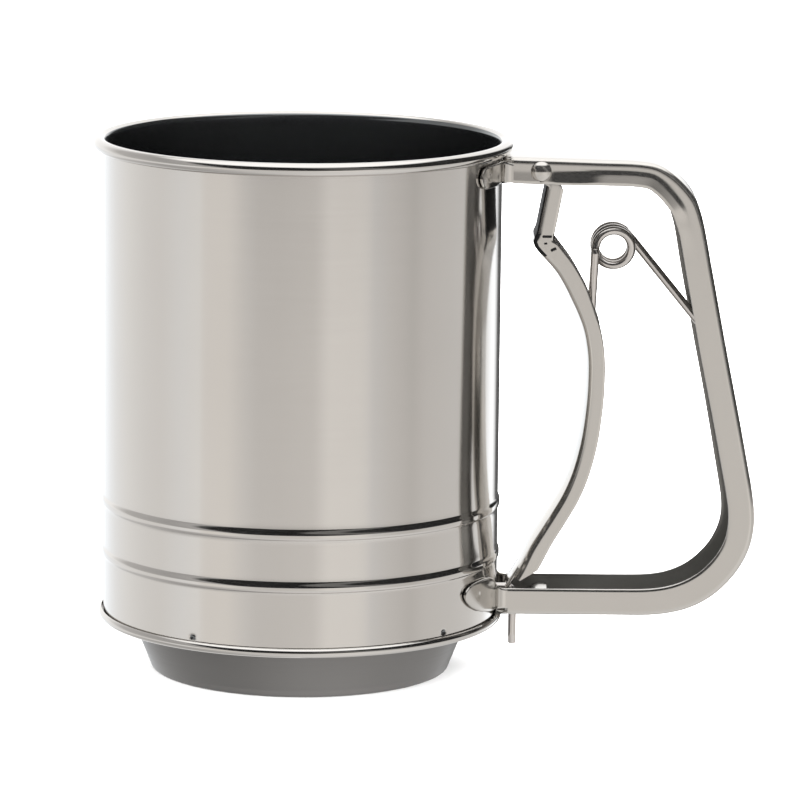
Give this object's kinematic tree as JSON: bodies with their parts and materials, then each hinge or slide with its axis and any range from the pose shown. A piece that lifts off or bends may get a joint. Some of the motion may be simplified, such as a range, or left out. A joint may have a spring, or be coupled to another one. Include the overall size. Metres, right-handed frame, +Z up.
{
  "type": "flour sifter",
  "caption": "One-hand flour sifter: a steel drum with rolled beads, a tapered foot, a channel handle and a sprung trigger that swings a scraper over the screen.",
  "frame": {"origin": "centre of the bounding box, on the plane under the foot's hem", "axes": "+X from the drum to the handle, +Z up from the foot to the rim, -Y to the front"},
  "size_m": [0.1671, 0.105, 0.1354],
  "materials": {
    "brushed_stainless": "brushed",
    "satin_stainless": "satin",
    "woven_stainless": "woven wire",
    "bright_steel": "bright plated",
    "bright_wire": "bright drawn"
  },
  "bodies": {
    "drum": {"body_shell": "brushed_stainless", "base_collar": "satin_stainless", "sifting_screen": "woven_stainless", "screen_ring": "brushed_stainless", "cross_bar": "brushed_stainless", "pivot_post": "bright_steel", "washer_lower": "bright_steel", "washer_upper": "bright_steel", "axle_nut_lower": "bright_steel", "axle_nut_upper": "bright_steel", "handle_channel": "bright_steel", "trigger_rivet": "bright_steel", "torsion_spring": "bright_wire"},
    "trigger": {"trigger": "bright_steel"},
    "rod": {"connecting_rod": "bright_wire"},
    "agitator": {"agitator_hub": "brushed_stainless", "agitator_blade_1": "brushed_stainless", "agitator_blade_2": "brushed_stainless", "agitator_blade_3": "brushed_stainless", "agitator_blade_4": "brushed_stainless", "crank_arm": "brushed_stainless"}
  },
  "joints": [
    {"name": "trigger_pivot", "type": "hinge", "parent": "drum", "child": "trigger", "pos_m": [0.0284, 0, 0.12835], "axis": [0, -1, 0], "range_deg": [0, 11], "stiffness_Nm_per_rad": 1.2, "springref_deg": -22.92, "deforming": ["torsion_spring"]},
    {"name": "rod_slide", "type": "slide", "parent": "drum", "child": "rod", "axis": [1, 0, 0], "range_m": [0, 0.0213]},
    {"name": "agitator_turn", "type": "hinge", "parent": "drum", "child": "agitator", "pos_m": [-0.0311, 0, 0.0176], "axis": [0, 0, 1], "range_deg": [-46.3, 0]}
  ],
  "couplings": [
    {"joint": "rod_slide", "follows": "trigger_pivot", "m_per_rad": 0.1109},
    {"joint": "agitator_turn", "follows": "trigger_pivot", "ratio": -4.1945}
  ]
}
